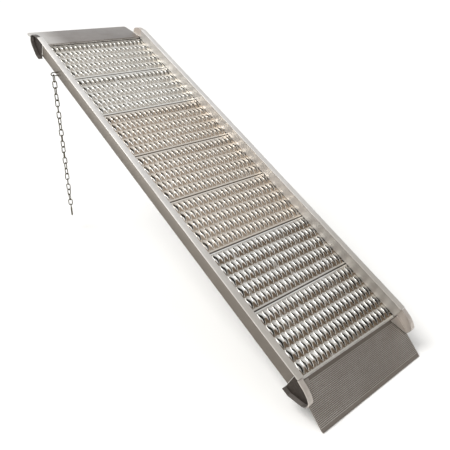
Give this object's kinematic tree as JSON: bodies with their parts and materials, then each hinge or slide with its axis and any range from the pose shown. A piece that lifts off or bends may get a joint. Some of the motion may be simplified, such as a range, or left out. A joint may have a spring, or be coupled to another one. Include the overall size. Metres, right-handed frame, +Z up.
{
  "type": "loading ramp",
  "caption": "Inclined aluminium loading ramp with a serrated plank deck between curb rails, a lip plate, a ribbed toe plate, end shoes and a hooked safety chain.",
  "frame": {"origin": "middle of the lip plate's underside, where it rests on the truck bed", "axes": "+Y level, from the toe towards the truck; +Z up; +X to the right when facing the truck"},
  "size_m": [0.6634, 2.2375, 1.0263],
  "materials": {
    "aluminium_plank": "mill finish, serrated",
    "aluminium_rail": "mill finish, extruded",
    "aluminium_plate": "mill finish, worn",
    "aluminium_shoe": "dull cast",
    "chain_steel": "plated, weathered"
  },
  "bodies": {
    "ramp": {"tread_plank_1": "aluminium_plank", "tread_plank_2": "aluminium_plank", "tread_plank_3": "aluminium_plank", "tread_plank_4": "aluminium_plank", "tread_plank_5": "aluminium_plank", "tread_plank_6": "aluminium_plank", "tread_plank_7": "aluminium_plank", "side_rail_left": "aluminium_rail", "side_rail_right": "aluminium_rail", "end_shoe_lower_left": "aluminium_shoe", "end_shoe_lower_right": "aluminium_shoe", "end_shoe_upper_left": "aluminium_shoe", "end_shoe_upper_right": "aluminium_shoe", "lip_plate": "aluminium_plate", "approach_plate": "aluminium_plate", "cross_tube_upper": "aluminium_plate", "cross_tube_lower": "aluminium_plate", "corner_plate_left": "aluminium_plate", "corner_plate_right": "aluminium_plate", "chain_eye": "chain_steel"},
    "chain_link_01": {"chain_link_01": "chain_steel"},
    "chain_link_02": {"chain_link_02": "chain_steel"},
    "chain_link_03": {"chain_link_03": "chain_steel"},
    "chain_link_04": {"chain_link_04": "chain_steel"},
    "chain_link_05": {"chain_link_05": "chain_steel"},
    "chain_link_06": {"chain_link_06": "chain_steel"},
    "chain_link_07": {"chain_link_07": "chain_steel"},
    "chain_link_08": {"chain_link_08": "chain_steel"},
    "chain_link_09": {"chain_link_09": "chain_steel"},
    "chain_link_10": {"chain_link_10": "chain_steel"},
    "chain_link_11": {"chain_link_11": "chain_steel"},
    "chain_link_12": {"chain_link_12": "chain_steel"},
    "chain_link_13": {"chain_link_13": "chain_steel"},
    "chain_link_14": {"chain_link_14": "chain_steel"},
    "chain_link_15": {"chain_link_15": "chain_steel"},
    "chain_link_16": {"chain_link_16": "chain_steel"},
    "chain_link_17": {"chain_link_17": "chain_steel"},
    "chain_link_18": {"chain_link_18": "chain_steel"},
    "chain_link_19": {"chain_link_19": "chain_steel"},
    "chain_link_20": {"chain_link_20": "chain_steel"},
    "chain_link_21": {"chain_link_21": "chain_steel"},
    "chain_link_22": {"chain_link_22": "chain_steel"},
    "chain_link_23": {"chain_link_23": "chain_steel"},
    "chain_hook": {"chain_hook": "chain_steel"}
  },
  "joints": [
    {"name": "link_01_swing", "type": "hinge", "parent": "ramp", "child": "chain_link_01", "pos_m": [-0.327, -0.3314, -0.14505], "axis": [1, 0, 0], "range_deg": [-45, 45]},
    {"name": "link_02_swing", "type": "hinge", "parent": "chain_link_01", "child": "chain_link_02", "pos_m": [-0.327, -0.3314, -0.17655], "axis": [0, 1, 0], "range_deg": [-45, 45]},
    {"name": "link_03_swing", "type": "hinge", "parent": "chain_link_02", "child": "chain_link_03", "pos_m": [-0.327, -0.3314, -0.20805], "axis": [-0.9311, 0.3649, 0], "range_deg": [-45, 45]},
    {"name": "link_04_swing", "type": "hinge", "parent": "chain_link_03", "child": "chain_link_04", "pos_m": [-0.327, -0.3314, -0.23955], "axis": [-0.6794, -0.7337, 0], "range_deg": [-45, 45]},
    {"name": "link_05_swing", "type": "hinge", "parent": "chain_link_04", "child": "chain_link_05", "pos_m": [-0.327, -0.3314, -0.27105], "axis": [0.4352, -0.9003, 0], "range_deg": [-45, 45]},
    {"name": "link_06_swing", "type": "hinge", "parent": "chain_link_05", "child": "chain_link_06", "pos_m": [-0.327, -0.3314, -0.30256], "axis": [0.9971, 0.0767, 0], "range_deg": [-45, 45]},
    {"name": "link_07_swing", "type": "hinge", "parent": "chain_link_06", "child": "chain_link_07", "pos_m": [-0.327, -0.3314, -0.33405], "axis": [0.2924, 0.9563, 0], "range_deg": [-45, 45]},
    {"name": "link_08_swing", "type": "hinge", "parent": "chain_link_07", "child": "chain_link_08", "pos_m": [-0.327, -0.3314, -0.36556], "axis": [-0.7837, 0.6211, 0], "range_deg": [-45, 45]},
    {"name": "link_09_swing", "type": "hinge", "parent": "chain_link_08", "child": "chain_link_09", "pos_m": [-0.327, -0.3314, -0.39705], "axis": [-0.8643, -0.503, 0], "range_deg": [-45, 45]},
    {"name": "link_10_swing", "type": "hinge", "parent": "chain_link_09", "child": "chain_link_10", "pos_m": [-0.327, -0.3314, -0.42856], "axis": [0.153, -0.9882, 0], "range_deg": [-45, 45]},
    {"name": "link_11_swing", "type": "hinge", "parent": "chain_link_10", "child": "chain_link_11", "pos_m": [-0.327, -0.3314, -0.46005], "axis": [0.9759, -0.2181, 0], "range_deg": [-45, 45]},
    {"name": "link_12_swing", "type": "hinge", "parent": "chain_link_11", "child": "chain_link_12", "pos_m": [-0.327, -0.3314, -0.49156], "axis": [0.5592, 0.829, 0], "range_deg": [-45, 45]},
    {"name": "link_13_swing", "type": "hinge", "parent": "chain_link_12", "child": "chain_link_13", "pos_m": [-0.327, -0.3314, -0.52306], "axis": [-0.5678, 0.8231, 0], "range_deg": [-45, 45]},
    {"name": "link_14_swing", "type": "hinge", "parent": "chain_link_13", "child": "chain_link_14", "pos_m": [-0.327, -0.3314, -0.55456], "axis": [-0.9736, -0.2284, 0], "range_deg": [-45, 45]},
    {"name": "link_15_swing", "type": "hinge", "parent": "chain_link_14", "child": "chain_link_15", "pos_m": [-0.327, -0.3314, -0.58605], "axis": [-0.1426, -0.9898, 0], "range_deg": [-45, 45]},
    {"name": "link_16_swing", "type": "hinge", "parent": "chain_link_15", "child": "chain_link_16", "pos_m": [-0.327, -0.3314, -0.61755], "axis": [0.8695, -0.4939, 0], "range_deg": [-45, 45]},
    {"name": "link_17_swing", "type": "hinge", "parent": "chain_link_16", "child": "chain_link_17", "pos_m": [-0.327, -0.3314, -0.64906], "axis": [0.7771, 0.6293, 0], "range_deg": [-45, 45]},
    {"name": "link_18_swing", "type": "hinge", "parent": "chain_link_17", "child": "chain_link_18", "pos_m": [-0.327, -0.3314, -0.68056], "axis": [-0.3024, 0.9532, 0], "range_deg": [-45, 45]},
    {"name": "link_19_swing", "type": "hinge", "parent": "chain_link_18", "child": "chain_link_19", "pos_m": [-0.327, -0.3314, -0.71205], "axis": [-0.9978, 0.0663, 0], "range_deg": [-45, 45]},
    {"name": "link_20_swing", "type": "hinge", "parent": "chain_link_19", "child": "chain_link_20", "pos_m": [-0.327, -0.3314, -0.74355], "axis": [-0.4258, -0.9048, 0], "range_deg": [-45, 45]},
    {"name": "link_21_swing", "type": "hinge", "parent": "chain_link_20", "child": "chain_link_21", "pos_m": [-0.327, -0.3314, -0.77506], "axis": [0.6871, -0.7266, 0], "range_deg": [-45, 45]},
    {"name": "link_22_swing", "type": "hinge", "parent": "chain_link_21", "child": "chain_link_22", "pos_m": [-0.327, -0.3314, -0.80656], "axis": [0.9272, 0.3746, 0], "range_deg": [-45, 45]},
    {"name": "link_23_swing", "type": "hinge", "parent": "chain_link_22", "child": "chain_link_23", "pos_m": [-0.327, -0.3314, -0.83805], "axis": [-0.0105, 0.9999, 0], "range_deg": [-45, 45]},
    {"name": "hook_swing", "type": "hinge", "parent": "chain_link_23", "child": "chain_hook", "pos_m": [-0.327, -0.3314, -0.86955], "axis": [-0.9348, 0.3551, 0], "range_deg": [-45, 45]}
  ]
}
